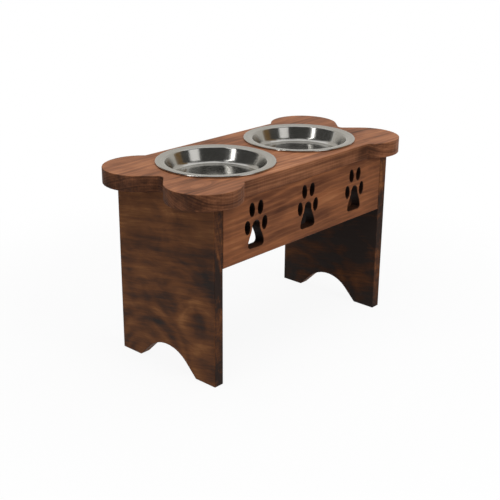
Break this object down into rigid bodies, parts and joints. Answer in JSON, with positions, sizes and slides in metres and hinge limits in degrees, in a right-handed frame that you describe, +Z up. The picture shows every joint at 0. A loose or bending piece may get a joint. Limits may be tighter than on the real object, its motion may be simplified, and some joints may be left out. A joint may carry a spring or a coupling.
{
  "type": "raised pet feeder",
  "caption": "Raised wooden pet feeder with a bone-shaped top on arched board legs, paw-print rail and lift-out steel bowls.",
  "frame": {"origin": "on the floor, at the middle of the object's footprint", "axes": "+X along the length towards the right bowl, +Y from the paw-print rail to the plain back rail, +Z up"},
  "size_m": [0.5468, 0.272, 0.3388],
  "materials": {
    "stained_wood": "walnut-stained pine under a satin clear coat",
    "inner_wood": "walnut-stained pine, sawn and unpolished",
    "bowl_steel": "spun stainless steel with fine circular brushing",
    "screw_steel": "bright zinc plate"
  },
  "bodies": {
    "stand": {"top_board": "stained_wood", "left_leg": "stained_wood", "right_leg": "stained_wood", "front_rail": "stained_wood", "back_rail": "stained_wood", "front_left_block": "inner_wood", "front_right_block": "inner_wood", "back_left_block": "inner_wood", "back_right_block": "inner_wood", "left_cleat": "inner_wood", "right_cleat": "inner_wood", "block_leg_screw_1": "screw_steel", "block_leg_screw_2": "screw_steel", "block_leg_screw_3": "screw_steel", "block_leg_screw_4": "screw_steel", "block_leg_screw_5": "screw_steel", "block_leg_screw_6": "screw_steel", "block_leg_screw_7": "screw_steel", "block_leg_screw_8": "screw_steel", "block_rail_screw_1": "screw_steel", "block_rail_screw_2": "screw_steel", "block_rail_screw_3": "screw_steel", "block_rail_screw_4": "screw_steel", "block_rail_screw_5": "screw_steel", "block_rail_screw_6": "screw_steel", "block_rail_screw_7": "screw_steel", "block_rail_screw_8": "screw_steel", "cleat_leg_screw_1": "screw_steel", "cleat_leg_screw_2": "screw_steel", "cleat_leg_screw_3": "screw_steel", "cleat_leg_screw_4": "screw_steel", "cleat_top_screw_1": "screw_steel", "cleat_top_screw_2": "screw_steel", "cleat_top_screw_3": "screw_steel", "cleat_top_screw_4": "screw_steel"},
    "left_bowl": {"left_bowl": "bowl_steel"},
    "right_bowl": {"right_bowl": "bowl_steel"}
  },
  "joints": [
    {"name": "left_bowl_lift", "type": "slide", "parent": "stand", "child": "left_bowl", "axis": [0, 0, 1], "range_m": [0, 0.06]},
    {"name": "right_bowl_lift", "type": "slide", "parent": "stand", "child": "right_bowl", "axis": [0, 0, 1], "range_m": [0, 0.06]}
  ]
}
